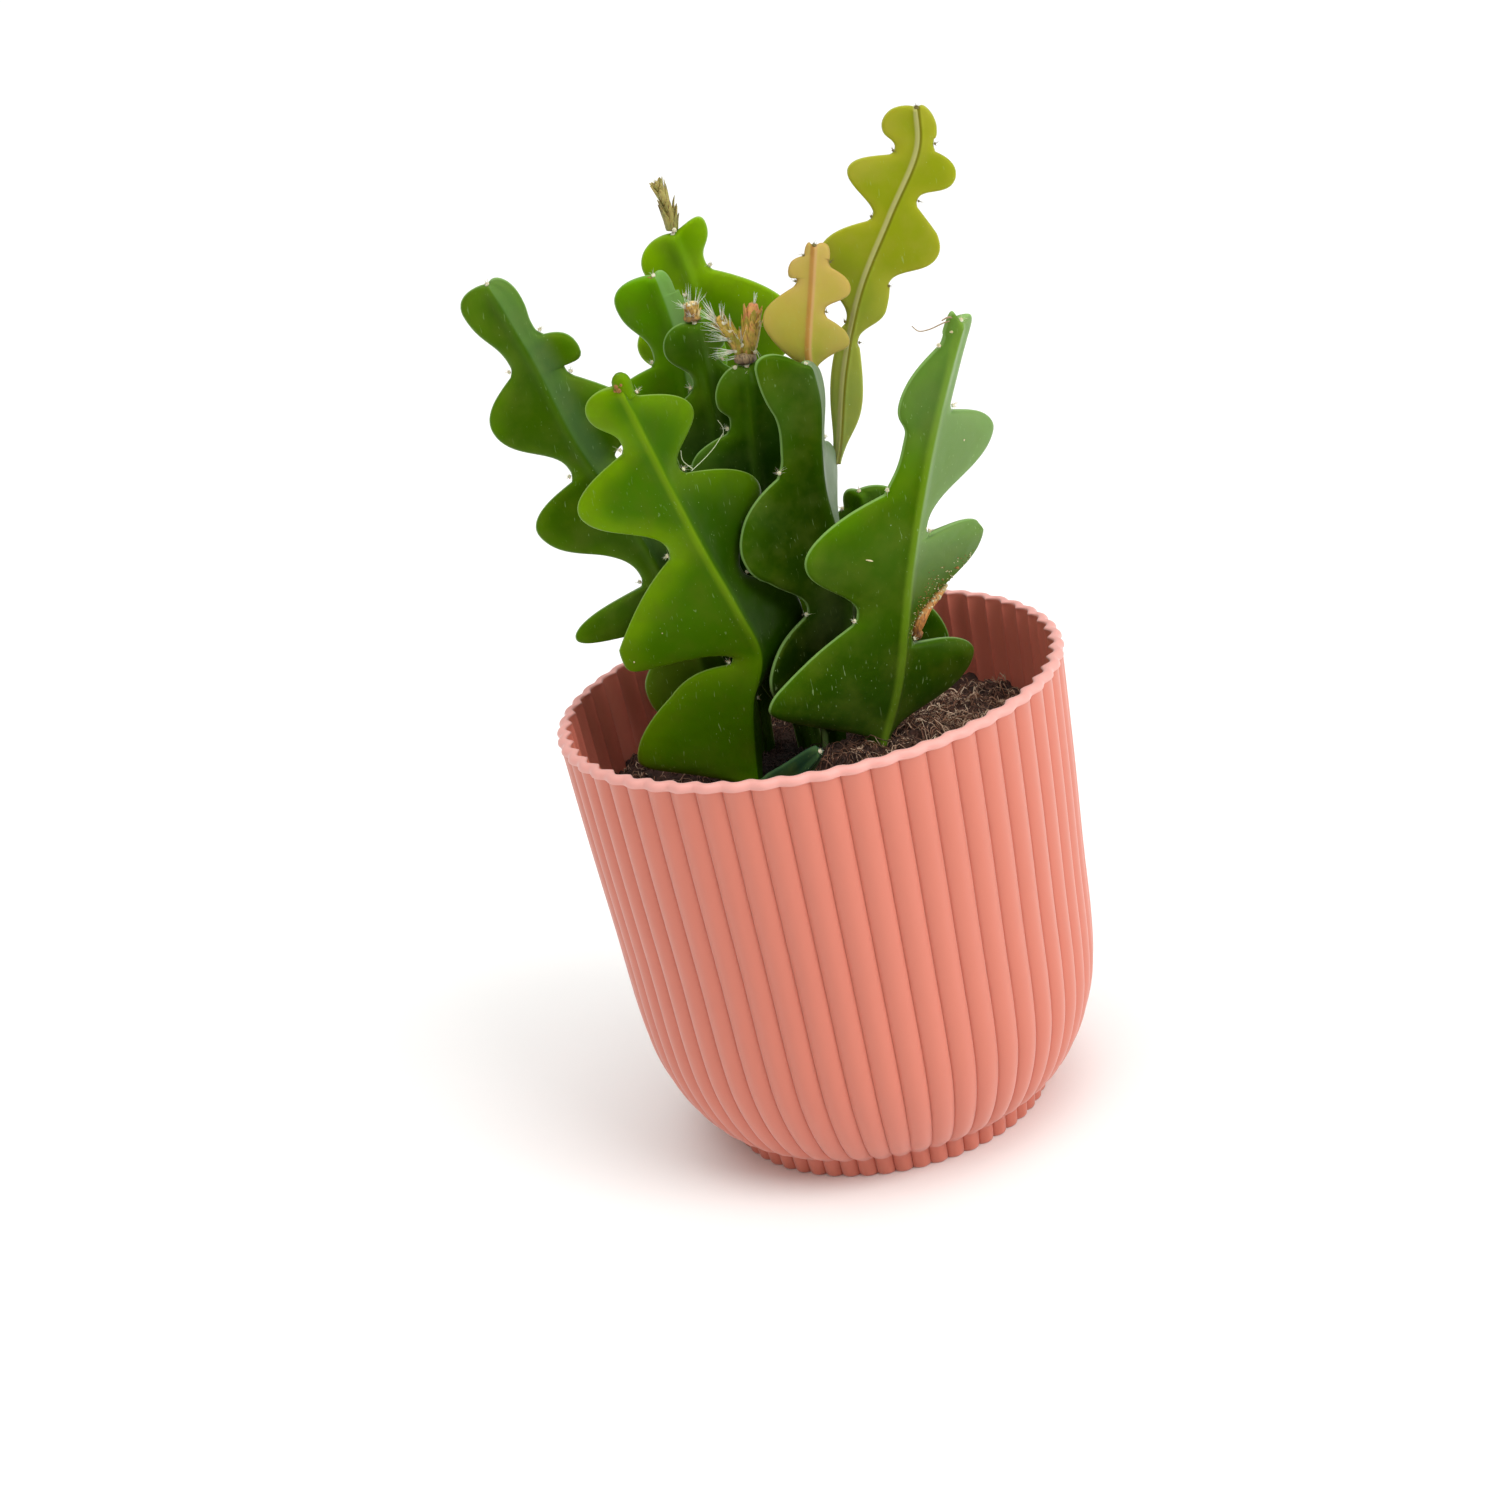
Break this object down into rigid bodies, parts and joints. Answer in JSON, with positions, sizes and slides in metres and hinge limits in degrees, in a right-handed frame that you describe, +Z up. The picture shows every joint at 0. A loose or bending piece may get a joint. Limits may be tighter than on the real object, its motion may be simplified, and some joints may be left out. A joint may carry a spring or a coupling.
{
  "type": "potted fishbone cactus",
  "caption": "Fishbone cactus with flat, deeply lobed green stems and two yellow young shoots, growing in soil in a round fluted plastic pot.",
  "frame": {"origin": "middle of the pot's flat underside", "axes": "+Z up, the height of the plant; -Y is the side that the picture shows; +X to the right in the picture"},
  "size_m": [0.1412, 0.1412, 0.2756],
  "materials": {
    "pot_plastic": "matte moulded coral pink",
    "soil": "rough brown coir fibre and crumbs",
    "stem_dark": "waxy dark green skin",
    "stem_bright": "waxy bright green skin",
    "stem_sheen": "waxy green skin with a grey bloom",
    "shoot_young": "soft yellow-green skin",
    "shoot_amber": "soft amber skin",
    "bud_dried": "dry scaly bud",
    "bud_woolly": "pale woolly bud with white spines",
    "bud_golden": "golden ribbed buds with white spines",
    "root_dried": "dry orange-brown root"
  },
  "bodies": {
    "root": {"pot": "pot_plastic", "soil": "soil", "stem_front_left": "stem_bright", "stem_front_right": "stem_sheen", "stem_centre": "stem_dark", "stem_left": "stem_dark", "stem_back_left": "stem_sheen", "stem_back": "stem_bright", "stem_middle_left": "stem_dark", "stem_middle": "stem_dark", "stem_back_right": "stem_dark", "stem_low": "stem_dark", "shoot_tall": "shoot_young", "shoot_short": "shoot_amber", "bud_dried": "bud_dried", "bud_woolly": "bud_woolly", "bud_pair": "bud_golden", "root_dried": "root_dried"}
  },
  "joints": []
}
